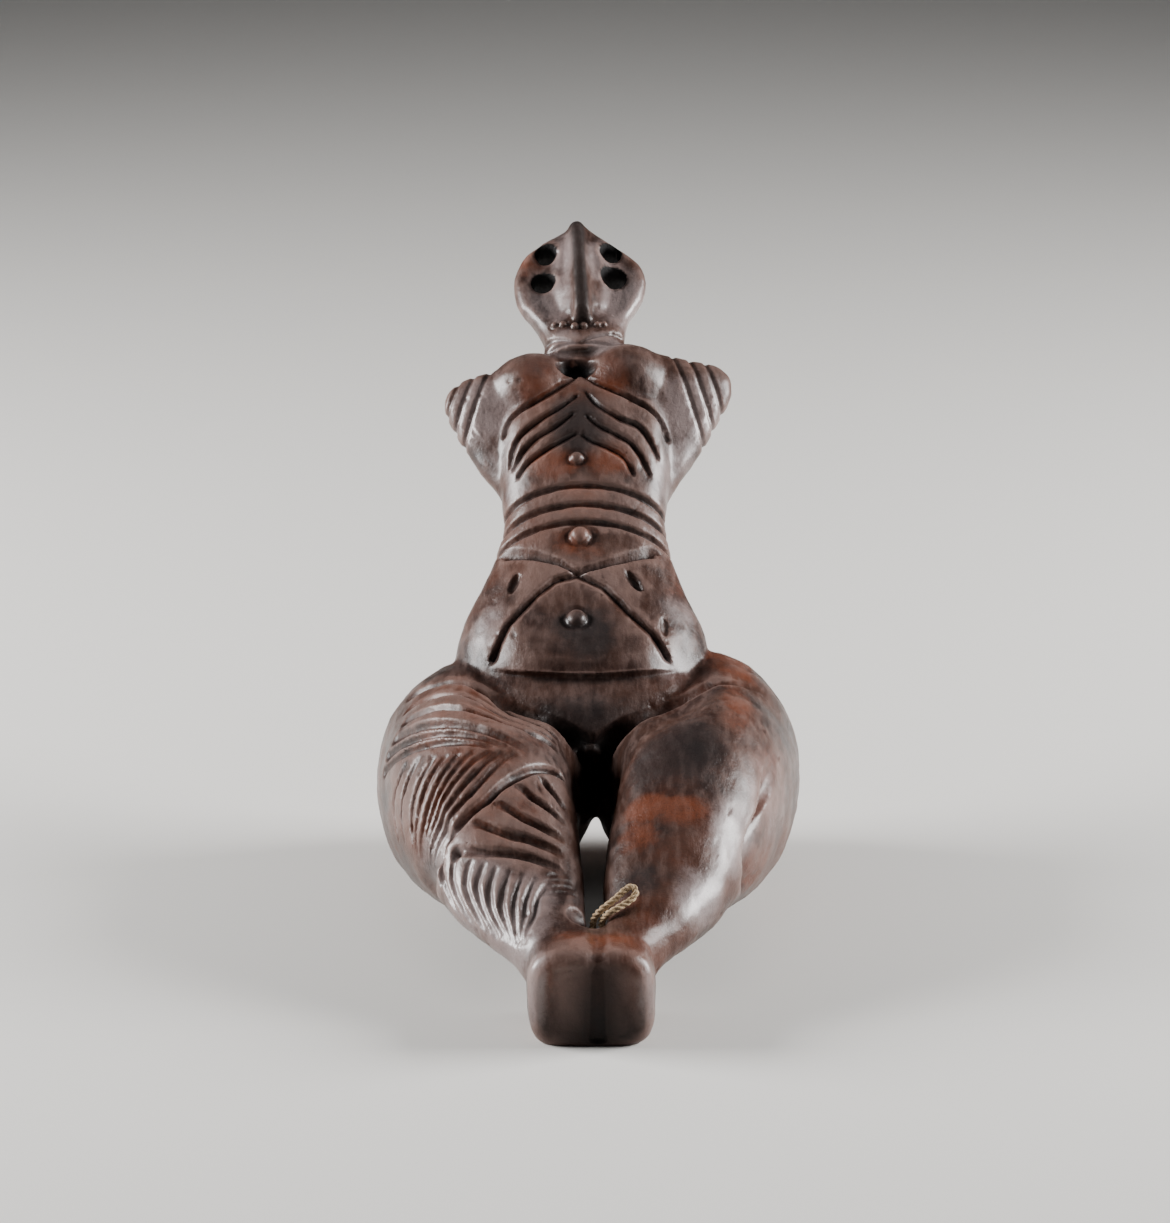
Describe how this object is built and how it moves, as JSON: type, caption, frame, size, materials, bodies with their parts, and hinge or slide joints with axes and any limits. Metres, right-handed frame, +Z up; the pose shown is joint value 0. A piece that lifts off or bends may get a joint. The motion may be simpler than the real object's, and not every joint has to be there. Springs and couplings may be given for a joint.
{
  "type": "mother goddess figurine",
  "caption": "Reclining fired-clay female figurine with broad hips, joined feet, arm stumps, a flat pierced head and incised bands; a bight of twine sits in a hole at its feet.",
  "frame": {"origin": "centre of the bounding box, on the surface that the figurine rests on", "axes": "+Z up; the figurine lies along Y with its joined feet at -Y and its head at +Y; X is across its hips, +X towards the figure's own left"},
  "size_m": [0.0822, 0.1876, 0.1136],
  "materials": {
    "clay": "burnished, smoke-darkened clay with rust-red patches, satin",
    "twine": "plain twisted plant-fibre twine, matt"
  },
  "bodies": {
    "root": {"figurine": "clay", "twine": "twine"}
  },
  "joints": []
}
